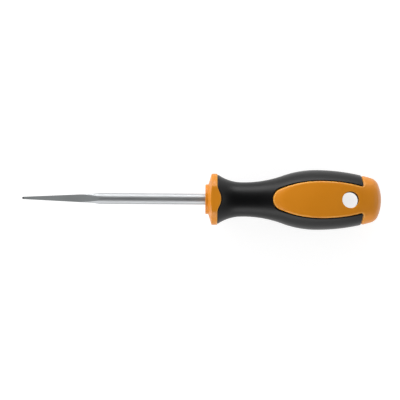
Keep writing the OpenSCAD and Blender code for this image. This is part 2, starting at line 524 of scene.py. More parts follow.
def polar(along: float, radius: float, turn: float) -> Vector:
    """The point at a place on the axis, a radius and a turn about the axis."""
    return Vector((along, radius * math.sin(turn), radius * math.cos(turn)))


def meet(c1: Vector, r1: float, c2: Vector, r2: float) -> Vector:
    """Finds where two circles cross, on the butt's side of the line between their centres.

    Args:
        c1: The first circle's centre.
        r1: Its radius.
        c2: The second circle's centre.
        r2: Its radius.

    Returns:
        The point.
    """
    gap = (c2 - c1).length
    ahead = (c2 - c1) / gap
    along = (r1 * r1 - r2 * r2 + gap * gap) / (2 * gap)
    return c1 + along * ahead + math.sqrt(r1 * r1 - along * along) * Vector((ahead.y, -ahead.x))


@dataclass(frozen=True)
class Arc:
    """A round stretch of an outline, between two angles off the outward direction.

    A negative radius takes the side of the circle that faces inwards, for a hollow stretch.
    """

    centre: Vector
    radius: float
    start: float
    end: float

    def at(self, share: float, grow: float = 0.0) -> Vector:
        """The point at a share of the arc, moved outwards by grow."""
        return self.centre + (self.radius + grow) * self.outward(share)

    def outward(self, share: float) -> Vector:
        """The outward direction at a share of the arc."""
        angle = self.start + (self.end - self.start) * share
        return Vector((math.sin(angle), math.cos(angle)))

    def height(self, along: float) -> tuple[float, Vector]:
        """The outline's height over a place on the axis.

        Args:
            along: The place.

        Returns:
            The height there and the outward direction.
        """
        ends = sorted((self.radius * math.sin(self.start), self.radius * math.sin(self.end)))
        run = min(max(along - self.centre.x, ends[0]), ends[1])
        rise = math.sqrt(max(self.radius**2 - run**2, 0.0))
        side = math.copysign(1.0, self.radius)
        return self.centre.y + side * rise, Vector((side * run, rise)) / abs(self.radius)

    @property
    def length(self) -> float:
        """How long the arc is."""
        return abs(self.radius * (self.end - self.start))


@dataclass(frozen=True)
class Outline:
    """A chain of arcs along the axis."""

    arcs: tuple[Arc, ...]

    def height(self, along: float) -> tuple[float, Vector]:
        """The height and the outward direction over a place on the axis."""
        arc = next((a for a in self.arcs if along <= a.at(1.0).x), self.arcs[-1])
        return arc.height(along)

    def travel(self, along: float) -> float:
        """Measures along the chain from its start to a place on the axis.

        Args:
            along: The place.

        Returns:
            The distance.
        """
        total = 0.0
        for arc in self.arcs:
            if along <= arc.at(1.0).x:
                turn = math.asin(min(max((along - arc.centre.x) / arc.radius, -1.0), 1.0))
                return total + abs(arc.radius * (turn - arc.start))
            total += arc.length
        return total

    def place(self, travel: float) -> float:
        """Finds the place on the axis at a distance along the chain.

        Args:
            travel: The distance.

        Returns:
            The place.
        """
        for arc in self.arcs:
            if travel <= arc.length:
                return arc.at(travel / arc.length).x
            travel -= arc.length
        return self.arcs[-1].at(1.0).x


@dataclass
class HandleForm:
    """The outer form that the core and the grip share, seen as one quarter of the handle.

    A turn is an angle about the axis: 0 is up, at the middle of a window, and a quarter turn is the side.
    """

    handle_len: float
    belly_d: float
    window_t: float
    flange_front: float = 3.3 * MM
    flange_w: float = 3.3 * MM
    flange_flats: float = 24.8 * MM
    flare_d: float = 27.4 * MM
    front_softness: float = 0.9 * MM
    neck_x: float = 20.0 * MM
    neck_land: float = 1.0 * MM
    neck_d: float = 18.8 * MM
    belly_x: float = 60.5 * MM
    hollow_share: float = 0.533
    tail_r: float = 108.0 * MM
    dome_r: float = 22.0 * MM
    corner_r: float = 6.0 * MM
    crown_long_r: float = 150.0 * MM
    crown_cross_r: float = 60.0 * MM
    crown_softness: float = 0.5 * MM
    butt_softness: float = 2.2 * MM
    window_x: float = 36.7 * MM
    window_wide_x: float = 63.5 * MM
    window_w: float = 20.4 * MM
    window_end_w: float = 15.0 * MM
    window_tip_r: float = 6.5 * MM
    hole_d: float = 9.0 * MM
    hole_back: float = 16.9 * MM
    butt_len: float = 9.2 * MM
    leg_end_r: float = 55.0 * MM
    leg_corner_r: float = 1.0 * MM
    grip_wall: float = 2.2 * MM
    seam_gap: float = 0.02 * MM
    # How far rows of points lean out from a window's tip, and how far they start in front of it at the side
    tip_lean: float = 6.0 * MM
    tip_lead: float = 3.0 * MM
    # How far in front of a leg's end the rows start to follow it
    end_blend: float = 7.0 * MM
    # Rounds in which the place of a leg's end, a bare surface and a raised point settle
    end_rounds: int = 8
    bare_rounds: int = 5
    lift_rounds: int = 6
    # Steps of points along the stretches of a window's edge, across a leg and along the neck
    tip_steps: int = 16
    front_steps: int = 26
    flank_steps: int = 10
    hole_steps: int = 28
    corner_steps: int = 6
    side_steps: int = 44
    neck_steps: int = 44
    flank_share: float = 0.46

    @classmethod
    def from_frame(cls) -> "HandleForm":
        """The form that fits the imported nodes."""
        core_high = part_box("handle_core")[1]
        return cls(handle_len=core_high.x, belly_d=2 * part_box("grip")[1].y, window_t=2 * core_high.z)

    @property
    def flange_rear(self) -> float:
        """Where the flange ends and the grip starts."""
        return self.flange_front + self.flange_w

    @property
    def hole_x(self) -> float:
        """The middle of the hanging hole."""
        return self.handle_len - self.hole_back

    @cached_property
    def outline(self) -> Outline:
        """Works out the turned outline.

        Returns:
            The outline from the flare to the butt.
        """
        neck_r, belly_r = self.neck_d / 2, self.belly_d / 2
        flare_run = self.neck_x - self.flange_rear
        flare_rise = self.flare_d / 2 - neck_r
        flare_r = (flare_run**2 + flare_rise**2) / (2 * flare_rise)
        neck_end = self.neck_x + self.neck_land
        swell_run, swell_rise = self.belly_x - neck_end, belly_r - neck_r
        swell_r = (swell_run**2 + swell_rise**2) / (2 * swell_rise)
        slope = math.asin(swell_run / swell_r)
        hollow_r = swell_r * self.hollow_share
        crest_r = swell_r - hollow_r
        tail_c = Vector((self.belly_x, belly_r - self.tail_r))
        dome_c = Vector((self.handle_len - self.dome_r, 0.0))
        corner_c = meet(tail_c, self.tail_r - self.corner_r, dome_c, self.dome_r - self.corner_r)
        tail_end = math.atan2(*(corner_c - tail_c))
        dome_start = math.atan2(*(corner_c - dome_c))
        return Outline((
            Arc(Vector((self.neck_x, neck_r + flare_r)), -flare_r, math.asin(flare_run / flare_r), 0.0),
            Arc(Vector((neck_end, neck_r + hollow_r)), -hollow_r, 0.0, -slope),
            Arc(Vector((self.belly_x, belly_r - crest_r)), crest_r, -slope, 0.0),
            Arc(tail_c, self.tail_r, 0.0, tail_end),
            Arc(corner_c, self.corner_r, tail_end, dome_start),
            Arc(dome_c, self.dome_r, dome_start, QUARTER),
        ))

    @cached_property
    def edge_arcs(self) -> tuple[Arc, Arc, Arc, Arc]:
        """Works out the edge of a window seen from above.

        Returns:
            The arcs of its tip, its front, its rear and the corner of a leg.
        """
        half, end_half = self.window_w / 2, self.window_end_w / 2
        tip_c = Vector((self.window_x + self.window_tip_r, 0.0))
        front_run = self.window_wide_x - tip_c.x
        front_r = (front_run**2 + half**2 - self.window_tip_r**2) / (2 * (half - self.window_tip_r))
        front_c = Vector((self.window_wide_x, half - front_r))
        front_turn = math.atan2(*(tip_c - front_c))
        end_x = self.leg_end_c.x + math.sqrt(self.leg_end_r**2 - end_half**2)
        rear_run, rear_rise = end_x - self.leg_corner_r - self.window_wide_x, half - end_half
        rear_r = (rear_run**2 + rear_rise**2) / (2 * rear_rise)
        rear_c = Vector((self.window_wide_x, half - rear_r))
        end_r = self.leg_end_r - self.leg_corner_r
        corner_c = meet(rear_c, rear_r + self.leg_corner_r, self.leg_end_c, end_r)
        rear_turn = math.atan2(*(corner_c - rear_c))
        corner_turn = math.atan2(*(self.leg_end_c - corner_c))
        return (
            Arc(tip_c, self.window_tip_r, -QUARTER, front_turn),
            Arc(front_c, front_r, front_turn, 0.0),
            Arc(rear_c, rear_r, 0.0, rear_turn),
            Arc(corner_c, -self.leg_corner_r, rear_turn, corner_turn),
        )

    @property
    def leg_end_c(self) -> Vector:
        """The centre, seen from above, of the curve on which the legs end."""
        return Vector((self.handle_len - self.butt_len - self.leg_end_r, 0.0))

    def window_edge(self, grow: float) -> list[tuple[Vector, Vector]]:
        """Points on the edge of a window, from its tip to the middle of the leg's corner.

        Args:
            grow: How far the edge is moved out of the window.

        Returns:
            Each point, seen from above, with the direction out of the window. The corner keeps the direction
            of the edge that leads to it.
        """
        tip, front, rear, corner = self.edge_arcs
        stretches = (
            (tip, spread(0.0, 1.0, self.tip_steps)),
            (front, spread(0.0, 1.0, self.front_steps)[1:]),
            (rear, spread(0.0, self.flank_share, self.flank_steps)[1:]),
            (rear, spread(self.flank_share, 1.0, self.hole_steps)[1:]),
        )
        points = [(arc.at(s, grow), arc.outward(s)) for arc, shares in stretches for s in shares]
        out = rear.outward(1.0)
        return points + [(corner.at(s, grow), out) for s in spread(0.0, 0.5, self.corner_steps)[1:]]

    def leg_end(self, turn: float, grow: float) -> float:
        """Where a leg ends.

        Args:
            turn: The turn about the axis.
            grow: How far the end is moved into the leg.

        Returns:
            The place on the axis.
        """
        corner = self.edge_arcs[3]
        corner_r = self.leg_corner_r - grow
        reach = (corner.centre - self.leg_end_c).normalized()
        along = corner.centre.x
        for _ in range(self.end_rounds):
            across = self.outline.height(along)[0] * math.sin(turn)
            if across < corner.centre.y + corner_r * reach.y:
                along = corner.centre.x + math.sqrt(max(corner_r**2 - (across - corner.centre.y) ** 2, 0.0))
            else:
                along = self.leg_end_c.x + math.sqrt((self.leg_end_r - grow) ** 2 - across**2)
        return along

    def grip_front(self, turn: float) -> float:
        """Where the grip starts: behind the flange, or where a flat of the flange runs out on the flare.

        Args:
            turn: The turn about the axis.

        Returns:
            The place on the axis.
        """
        flare = self.outline.arcs[0]
        radius = min(self.flange_flats / 2 / max(math.cos(turn), JOIN), flare.centre.y)
        flat_end = self.neck_x - math.sqrt(flare.radius**2 - (flare.centre.y - radius) ** 2)
        return -soft_least(-self.flange_rear, -flat_end, self.front_softness)

    def skin(self, along: float, turn: float, inset: float = 0.0) -> Vector:
        """A point on the round body, drawn in square to the surface by the inset."""
        height, outward = self.outline.height(along)
        return polar(along - inset * outward.x, height - inset * outward.y, turn)

    def crown(self, along: float, across: float) -> float:
        """The height of a window's crowned surface over the tool's middle plane.

        Args:
            along: The place on the axis.
            across: The distance from the middle of the window.

        Returns:
            The height.
        """
        ring = self.crown_long_r - self.crown_cross_r + math.sqrt(self.crown_cross_r**2 - across**2)
        run = along - self.belly_x
        return self.window_t / 2 - self.crown_long_r + math.sqrt(ring**2 - run**2)

    def bare(self, along: float, turn: float) -> Vector:
        """A point on the surface that the grip leaves bare: the round body, less what the windows cut off.

        Args:
            along: The place on the axis.
            turn: The turn about the axis.

        Returns:
            The point.
        """
        round_r = self.outline.height(along)[0]
        past_hole = smooth((along - self.hole_x) / self.butt_len)
        softness = self.crown_softness + (self.butt_softness - self.crown_softness) * past_hole
        radius = round_r
        for _ in range(self.bare_rounds):
            flat_r = self.crown(along, radius * math.sin(turn)) / max(math.cos(turn), MM)
            radius = soft_least(round_r, flat_r, softness)
        return polar(along, min(max(radius, 0.0), round_r), turn)

    def lift(self, plan: Vector) -> Vector:
        """Raises a point seen from above to the bare surface.

        Args:
            plan: The point seen from above.

        Returns:
            The point on the surface.
        """
        point = Vector((plan.x, plan.y, self.outline.height(plan.x)[0]))
        for _ in range(self.lift_rounds):
            turn = math.asin(min(plan.y / math.hypot(point.y, point.z), 1.0))
            point = self.bare(plan.x, turn)
        return point

    def turn_of(self, plan: Vector) -> float:
        """The turn of a point of the round body seen from above."""
        return math.asin(min(plan.y / self.outline.height(plan.x)[0], 1.0))

    def sleeve(self, grow: float, inset: float) -> Grid:
        """A quarter of the surface that the grip covers: half of the neck, and half of a leg.

        Args:
            grow: How far its borders are drawn in from the edges of the bare surfaces.
            inset: How far it lies under the handle's surface.

        Returns:
            Rows of points from the flange to the leg's end, each from the top to the side.
        """
        shares = spread(0.0, 1.0, self.side_steps)
        edge = self.window_edge(grow)
        travel = [0.0]
        for (last, _), (this, _) in zip(edge, edge[1:]):
            travel.append(travel[-1] + (this - last).length)
        side_start, side_end = self.window_x - self.tip_lead, self.leg_end(QUARTER, grow)
        rows = []
        for (plan, out), distance in zip(edge, travel):
            turn = self.turn_of(plan)
            side_x = side_start + (side_end - side_start) * distance / travel[-1]
            row = []
            for share in shares:
                settled = smooth(share)
                along = (plan.x + out.x * self.tip_lean * share) * (1 - settled) + side_x * settled
                swing = share * (out.y + (1 - out.y) * settled)
                row.append((along, turn + (QUARTER - turn) * swing))
            rows.append(row)
        drift = [self.leg_end(turn, grow) - along for along, turn in rows[-1]]
        for i, (plan, _) in enumerate(edge):
            weight = smooth(1 - (edge[-1][0].x - plan.x) / self.end_blend)
            rows[i] = [(along + d * weight, turn) for (along, turn), d in zip(rows[i], drift)]
        front = [(self.grip_front(s * QUARTER) + grow, s * QUARTER) for s in shares]
        neck = []
        for share in spread(0.0, 1.0, self.neck_steps)[:-1]:
            pairs = zip(front, rows[0])
            neck.append([(a + (b - a) * share, t + (u - t) * share) for (a, t), (b, u) in pairs])
        return [[self.skin(along, turn, inset) for along, turn in row] for row in neck + rows]


@dataclass(frozen=True)
class Roll:
    """How the border of a sheet is rounded over."""

    radius: float
    angle: float = QUARTER
    steps: int = 6

    @property
    def width(self) -> float:
        """How far the rounding reaches past the sheet."""
        return self.radius * math.sin(self.angle)


class Shell:
    """A closed mesh that grows from sheets of points, their rolled edges and the walls between them."""

    def __init__(self) -> None:
        """Starts an empty mesh whose points know whether they are on a rolled edge or in a bore."""
        self.mesh = bmesh.new()
        self.edge = self.mesh.verts.layers.float.new(EDGE)
        self.bore = self.mesh.verts.layers.float.new(BORE)

    def sheet(self, *grids: Grid) -> list[Loop]:
        """Adds quarter sheets with their mirror images, joined where they meet.

        Args:
            grids: Rows of points of the upper quarter with y above 0.

        Returns:
            The sheet's borders, from front to rear.
        """
        made = []
        for side, top in ((1, 1), (-1, 1), (1, -1), (-1, -1)):
            for grid in grids:
                rows = [[self.mesh.verts.new((p.x, p.y * side, p.z * top)) for p in row] for row in grid]
                made.extend(v for row in rows for v in row)
                for low, high in zip(rows, rows[1:]):
                    for i in range(len(low) - 1):
                        corners = (low[i], high[i], high[i + 1], low[i + 1])
                        self.mesh.faces.new(corners if side == top else corners[::-1])
        bmesh.ops.remove_doubles(self.mesh, verts=made, dist=JOIN)
        return self.borders([v for v in made if v.is_valid])

    def borders(self, verts: Loop) -> list[Loop]:
        """Follows the open borders among some points.

        Args:
            verts: The points.

        Returns:
            The borders from front to rear, each from its foremost middle point towards +Y.
        """
        loose = {e for v in verts for e in v.link_edges if e.is_boundary}
        loops = []
        while loose:
            first = loose.pop()
            loop = list(first.verts)
            while loop[-1] is not loop[0]:
                step = next(e for e in loop[-1].link_edges if e in loose)
                loose.discard(step)
                loop.append(step.other_vert(loop[-1]))
            loop.pop()
            middle = [v for v in loop if abs(v.co.y) < JOIN]
            start = loop.index(min(middle, key=lambda v: (round(v.co.x / JOIN), -v.co.z)))
            loop = loop[start:] + loop[:start]
            loops.append(loop if loop[1].co.y > 0 else loop[:1] + loop[:0:-1])
        return sorted(loops, key=lambda lp: sum(v.co.x for v in lp) / len(lp))

    def roll(self, loop: Loop, roll: Roll) -> Loop:
        """Rounds the border of a sheet over, away from the sheet and down.

        Args:
            loop: The border.
            roll: The rounding.

        Returns:
            The border where the wall below it starts.
        """
        self.mesh.normal_update()
        ways = []
        inward = 0.0
        for i, vert in enumerate(loop):
            ahead = loop[(i + 1) % len(loop)].co - loop[i - 1].co
            out = ahead.cross(vert.normal).normalized()
            inward += sum(out.dot(f.calc_center_median() - vert.co) for f in vert.link_faces)
            ways.append((vert.co.copy(), vert.normal.copy(), out))
        side = -math.copysign(roll.radius, inward)
        for lean in spread(0.0, roll.angle, roll.steps)[1:]:
            ring = []
            for place, normal, out in ways:
                drop = roll.radius * (1 - math.cos(lean))
                vert = self.mesh.verts.new(place + out * side * math.sin(lean) - normal * drop)
                vert[self.edge] = 1.0
                ring.append(vert)
            self.connect(loop, ring)
            loop = ring
        return loop

    def connect(self, first: Loop, second: Loop) -> None:
        """Joins two borders of as many points by a wall.

        Args:
            first: One border.
            second: The other.
        """
        for i in range(len(first)):
            j = (i + 1) % len(first)
            self.mesh.faces.new((first[i], first[j], second[j], second[i]))

    def piece(self, name: str, material: bpy.types.Material) -> bpy.types.Object:
        """Turns the closed mesh into a smooth piece.

        Args:
            name: The piece's name.
            material: Its material.

        Returns:
            The piece.
        """
        bmesh.ops.recalc_face_normals(self.mesh, faces=self.mesh.faces)
        if self.mesh.calc_volume(signed=True) < 0:
            bmesh.ops.reverse_faces(self.mesh, faces=self.mesh.faces)
        loose = sum(not e.is_manifold for e in self.mesh.edges)
        log.info("%s: %d faces, %d open edges", name, len(self.mesh.faces), loose)
        data = bpy.data.meshes.new(name)
        self.mesh.to_mesh(data)
        self.mesh.free()
        data.shade_smooth()
        data.materials.append(material)
        return add_object(name, data)


def add_object(name: str, data: bpy.types.ID) -> bpy.types.Object:
    """Puts a mesh, light or camera in the scene.

    Args:
        name: The object's name.
        data: Its mesh, light or camera.

    Returns:
        The object.
    """
    made = bpy.data.objects.new(name, data)
    bpy.context.scene.collection.objects.link(made)
    return made


def adopt(piece: bpy.types.Object, node: str) -> None:
    """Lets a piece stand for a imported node.

    Args:
        piece: The piece.
        node: The node that it replaces.
    """
    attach(piece, BODY)
    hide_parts(node)
    triangles = sum(len(p.vertices) - 2 for p in piece.data.polygons)
    log.info("%s stands for %s, %d triangles", piece.name, node, triangles)


@dataclass
class Blade:
    """The turned steel blade with its ground square point, its tang and the tang's wings."""

    blade_len: float
    tang_len: float
    shank_d: float = 6.0 * MM
    taper_len: float = 34.0 * MM
    taper_w: float = 4.45 * MM
    tip_w: float = 1.3 * MM
    tip_end_w: float = 0.7 * MM
    tip_bevel_len: float = 0.7 * MM
    runout_r: float = 90.0 * MM
    runout_len: float = 12.0 * MM
    flat_softness: float = 0.06 * MM
    corner_softness: float = 0.035
    crease: float = math.radians(25)
    tang_d: float = 5.0 * MM
    tang_chamfer: float = 0.8 * MM
    wing_w: float = 9.0 * MM
    wing_len: float = 10.0 * MM
    wing_ramp: float = 2.0 * MM
    wing_t: float = 1.8 * MM
    wing_x: float = 24.0 * MM
    wing_pitch: float = 20.0 * MM
    wing_pairs: int = 2
    # Rows of points along the blade, and steps around it
    bevel_rows: int = 4
    taper_rows: int = 36
    runout_rows: int = 40
    shank_rows: int = 12
    steps_around: int = 160

    @classmethod
    def from_frame(cls) -> "Blade":
        """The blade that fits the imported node."""
        low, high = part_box("blade")
        return cls(blade_len=-low.x, tang_len=high.x)

    def profile(self) -> bpy.types.Mesh:
        """Draws the line that is turned about the axis.

        Returns:
            The line from the tip to the end of the tang.
        """
        shank_r, tang_r = self.shank_d / 2, self.tang_d / 2
        runout_end = self.taper_len + self.runout_len
        stations = (
            spread(0.0, self.tip_bevel_len, self.bevel_rows)
            + spread(self.tip_bevel_len, self.taper_len, self.taper_rows)[1:]
            + spread(self.taper_len, runout_end, self.runout_rows)[1:]
            + spread(runout_end, self.blade_len, self.shank_rows)[1:]
        )
        chamfer_x = self.tang_len - self.tang_chamfer
        points = [(-self.blade_len, 0.0)] + [(s - self.blade_len, shank_r) for s in stations]
        points += [(0.0, tang_r), (chamfer_x, tang_r)]
        points += [(self.tang_len, tang_r - self.tang_chamfer), (self.tang_len, 0.0)]
        line = bpy.data.meshes.new("blade_profile")
        line.from_pydata([(x, 0.0, r) for x, r in points], [(i, i + 1) for i in range(len(points) - 1)], [])
        return line

    def sizes(self, rows: int) -> dict[str, Union[int, float]]:
        """Names the inputs of the blade's tree.

        Args:
            rows: How many points the turned line has.

        Returns:
            The value of each input.
        """
        return {
            "Rows": rows,
            "Steps Around": self.steps_around,
            "Blade Length": self.blade_len,
            "Taper Length": self.taper_len,
            "Taper Half Width": self.taper_w / 2,
            "Tip Half Width": self.tip_w / 2,
            "Tip End Half Width": self.tip_end_w / 2,
            "Tip Bevel Length": self.tip_bevel_len,
            "Run-out Radius": self.runout_r,
            "Flat Softness": self.flat_softness,
            "Corner Softness": self.corner_softness,
            "Crease": self.crease,
            "Wing Length": self.wing_len,
            "Wing Width": self.wing_w,
            "Wing Thickness": self.wing_t,
            "Wing Top Share": 1 - 2 * self.wing_ramp / self.wing_len,
            "Wing Place": self.wing_x,
            "Wing Pitch": self.wing_pitch,
            "Wing Pairs": self.wing_pairs,
        }

    def flat_height(self, tree: ShapeTree, behind_tip: Wire) -> Wire:
        """The distance of the point's flats from the axis.

        Args:
            tree: The blade's tree.
            behind_tip: The distance behind the tip.

        Returns:
            The distance of the flats there.
        """
        taper_len, taper_h = tree.size("Taper Length"), tree.size("Taper Half Width")
        bevel_len, tip_h = tree.size("Tip Bevel Length"), tree.size("Tip Half Width")
        end_h, runout_r = tree.size("Tip End Half Width"), tree.size("Run-out Radius")
        slope = (taper_h - tip_h) / (taper_len - bevel_len)
        taper = tip_h + slope * (behind_tip - bevel_len)
        bevel = end_h + (tip_h - end_h) * behind_tip / bevel_len
        straight = taper.maths(Maths.LEAST, taper, bevel)
        level = (1 + slope * slope) ** 0.5
        centre_x = taper_len - runout_r * slope / level
        centre_h = taper_h + runout_r / level
        run = behind_tip - centre_x
        square = runout_r * runout_r - run * run
        hollow = centre_h - square.maths(Maths.MOST, square, 0.0) ** 0.5
        past = behind_tip > taper_len
        return straight * (1 - past) + hollow * past

    def ground_body(self, tree: ShapeTree) -> Wire:
        """The turned body with the four flats of its point.

        Args:
            tree: The blade's tree.

        Returns:
            The body's mesh.
        """
        rows, steps = tree.size("Rows"), tree.size("Steps Around")
        grid = tree.node("GeometryNodeMeshGrid", sockets={
            "Size X": 1.0, "Size Y": 1.0, "Vertices X": rows, "Vertices Y": steps + 1})
        row, column, _ = tree.node("GeometryNodeInputPosition").split()
        index = row.maths(Maths.ROUND, (row + 0.5) * (rows - 1))
        turn = (column + 0.5) * (4 * QUARTER)
        sampled = tree.node(
            "GeometryNodeSampleIndex",
            {"data_type": "FLOAT_VECTOR", "domain": "POINT"},
            {"Geometry": tree.given, "Value": tree.node("GeometryNodeInputPosition"), "Index": index},
        )
        along, _, turned = sampled.split()
        sine, cosine = turn.maths(Maths.SINE, turn), turn.maths(Maths.COSINE, turn)
        corner = sine.maths(Maths.SOFT_MOST, abs(sine), abs(cosine), tree.size("Corner Softness"))
        flat = self.flat_height(tree, along + tree.size("Blade Length")) / corner
        radius = turned.maths(Maths.SOFT_LEAST, turned, flat, tree.size("Flat Softness"))
        placed = tree.moved(grid, tree.vector(along, radius * sine, radius * cosine))
        return tree.node("GeometryNodeMergeByDistance", sockets={"Geometry": placed, "Distance": JOIN})

    def wings(self, tree: ShapeTree) -> Wire:
        """The pairs of wings that keep the tang from turning.

        Args:
            tree: The blade's tree.

        Returns:
            The wings, one plate for each pair.
        """
        width = tree.size("Wing Width")
        size = tree.vector(tree.size("Wing Length"), width, tree.size("Wing Thickness"))
        plate = tree.node("GeometryNodeMeshCube", sockets={
            "Size": size, "Vertices X": 2, "Vertices Y": 3, "Vertices Z": 2})
        along, across, up = tree.node("GeometryNodeInputPosition").split()
        narrowed = along * (1 - (1 - tree.size("Wing Top Share")) * abs(across) / (width / 2))
        ramped = tree.moved(plate, tree.vector(narrowed, across, up))
        line = tree.node("GeometryNodeMeshLine", sockets={
            "Count": tree.size("Wing Pairs"),
            "Start Location": tree.vector(tree.size("Wing Place")),
            "Offset": tree.vector(tree.size("Wing Pitch"))})
        pairs = tree.node("GeometryNodeInstanceOnPoints", sockets={"Points": line, "Instance": ramped})
        return tree.node("GeometryNodeRealizeInstances", sockets={"Geometry": pairs})

    def build(self) -> bpy.types.Object:
        """Makes and dresses the blade.

        Returns:
            The piece that stands for its node.
        """
        finish = GroundSteel("ground_steel", shank_r=self.shank_d / 2, tip_x=-self.blade_len)
        line = self.profile()
        tree = ShapeTree("blade_shape", self.sizes(len(line.vertices)))
        whole = tree.node("GeometryNodeMeshBoolean", {"operation": "UNION", "solver": "EXACT"}, {
            "Mesh": [self.ground_body(tree), self.wings(tree)]})
        smoothed = tree.node("GeometryNodeSetShadeSmooth", {"domain": "FACE"}, {"Geometry": whole})
        crease = tree.node("GeometryNodeInputMeshEdgeAngle") > tree.size("Crease")
        creased = tree.node("GeometryNodeSetShadeSmooth", {"domain": "EDGE"}, {
            "Geometry": smoothed, "Selection": crease, "Shade Smooth": False})
        tree.close(creased, finish.material())
        piece = add_object("blade_piece", tree.mesh(line))
        adopt(piece, "blade")
        return piece


@dataclass
class Core:
    """The hard core of the handle: nose, flange, the part under the grip, windows and butt."""

    form: HandleForm
    tang_len: float
    socket_r: float = 2.52 * MM
    nose_d: float = 16.2 * MM
    nose_len: float = 1.7 * MM
    flange_d: float = 28.0 * MM
    edge_r: float = 0.5 * MM
    flat_softness: float = 0.3 * MM
    flange_roll: Roll = Roll(0.8 * MM, math.radians(52))
    seam_roll: Roll = Roll(1.4 * MM, math.radians(52))
    rim_roll: Roll = Roll(0.35 * MM)
    # Steps of points along the nose's face, its edges, its root, the cone and the rim, across half a window
    # and along the butt
    face_steps: int = 6
    edge_steps: int = 6
    root_steps: int = 5
    cone_steps: int = 8
    rim_steps: int = 10
    pad_steps: int = 16
    butt_steps: int = 30

    def nose_profile(self) -> list[Vector]:
        """Draws the turned outline of the nose and the cone.

        Returns:
            Its points from the tang's socket to the flange's rim, as places on the axis and radii.
        """
        nose_r, flange_r, edge = self.nose_d / 2, self.flange_d / 2, self.edge_r
        cone = math.atan2(flange_r - nose_r, self.form.flange_front - self.nose_len)
        nose_edge = Arc(Vector((edge, nose_r - edge)), edge, -QUARTER, 0.0)
        root = edge * math.tan(cone / 2)
        inner = Arc(Vector((self.nose_len - root, nose_r + edge)), -edge, 0.0, -cone)
        rim = Arc(Vector((self.form.flange_front + edge, flange_r - edge)), edge, -cone, 0.0)
        points = [Vector((0.0, r)) for r in spread(self.socket_r, nose_r - edge, self.face_steps)[:-1]]
        points += [nose_edge.at(s) for s in spread(0.0, 1.0, self.edge_steps)]
        points += [inner.at(s) for s in spread(0.0, 1.0, self.root_steps)]
        start, end = inner.at(1.0), rim.at(0.0)
        points += [start.lerp(end, s) for s in spread(0.0, 1.0, self.cone_steps)[1:-1]]
        return points + [rim.at(s) for s in spread(0.0, 1.0, self.edge_steps)]

    def front(self) -> Grid:
        """Lays out a quarter of the nose and the flange, with half of a flat.

        Returns:
            Rows of points from the socket to the flange's rear, each from the top to the side.
        """
        form = self.form
        flat_h = form.flange_flats / 2
        profile = self.nose_profile()
        last = profile[-1]
        columns = []
        for share in spread(0.0, 1.0, form.side_steps):
            turn = share * QUARTER
            limit = flat_h / max(math.cos(turn), JOIN)
            border = form.grip_front(turn) - form.seam_gap - self.flange_roll.width
            reach = profile + [Vector((x, last.y)) for x in spread(last.x, border, self.rim_steps)[1:]]
            columns.append([polar(p.x, soft_least(p.y, limit, self.flat_softness), turn) for p in reach])
        return [list(row) for row in zip(*columns)]

    def middle_line(self) -> list[Vector]:
        """Draws the line from which rows of points run out to a window's edge.

        It stays on the centre of the tip's round for the tip's rows, follows the middle of the window, and
        goes round the hanging hole.

        Returns:
            Its points, seen from above, one for each point of the window's edge.
        """
        form = self.form
        tip_x = form.edge_arcs[0].centre.x
        hole_r = form.hole_d / 2 + self.rim_roll.width
        to_hole = spread(tip_x, form.hole_x - hole_r, form.front_steps + form.flank_steps)
        around = spread(math.pi, 0.0, form.hole_steps)
        end_x = form.leg_end_c.x + form.leg_end_r
        points = [Vector((tip_x, 0.0))] * form.tip_steps + [Vector((x, 0.0)) for x in to_hole[:-1]]
        for angle in around:
            across = hole_r * max(math.sin(angle), 0.0)
            points.append(Vector((form.hole_x + hole_r * math.cos(angle), across)))
        behind = spread(form.hole_x + hole_r, end_x, form.corner_steps)[1:]
        return points + [Vector((x, 0.0)) for x in behind]

    def rear(self) -> tuple[Grid, Grid]:
        """Lays out a quarter of the bare surfaces.

        Returns:
            Rows of points of half of a window, and of the butt behind it.
        """
        form = self.form
        grow = -form.seam_gap - self.seam_roll.width
        edge = form.window_edge(grow)
        shares = spread(0.0, 1.0, self.pad_steps)
        window = []
        for start, (end, _) in zip(self.middle_line(), edge):
            window.append([form.lift(start.lerp(end, s)) for s in shares])
        corner_turn = math.atan2(window[-1][-1].y, window[-1][-1].z)
        side = [corner_turn + (QUARTER - corner_turn) * s for s in spread(0.0, 1.0, form.side_steps)[1:]]
        first = window[-1] + [form.bare(form.leg_end(turn, grow), turn) for turn in side]
        tail = Outline(form.outline.arcs[3:])
        whole = tail.travel(form.handle_len)
        pole = Vector((form.handle_len, 0.0, 0.0))
        columns = []
        for point in first:
            turn = math.atan2(point.y, point.z)
            start = tail.travel(point.x)
            places = [tail.place(t) for t in spread(start, whole, self.butt_steps)]
            columns.append([point] + [form.bare(x, turn) for x in places[1:-1]] + [pole])
        return window, [list(row) for row in zip(*columns)]

    def build(self) -> bpy.types.Object:
        """Makes and dresses the core.

        Returns:
            The piece that stands for its node.
        """
        finish = Moulding(
            "orange_moulding",
            colour=(0.75, 0.262, 0.009, 1.0),
            deep_colour=(0.69, 0.235, 0.007, 1.0),
            # Rolled edges painted lighter: rubbed wear and painted highlight
            rub_and_highlight_colour=(0.84, 0.41, 0.045, 1.0),
            roughness=0.38,
            grain_size=0.22 * MM,
            grain_depth=0.004 * MM,
            specular=0.38,
        )
        form = self.form
        shell = Shell()
        socket, flange = shell.sheet(self.front())
        *rims, seam = sorted(shell.sheet(*self.rear()), key=len)
        neck, legs = shell.sheet(form.sleeve(-form.seam_gap, form.grip_wall))
        shell.connect(shell.roll(flange, self.flange_roll), neck)
        shell.connect(shell.roll(seam, self.seam_roll), legs)
        bore = [shell.roll(rim, self.rim_roll) for rim in rims]
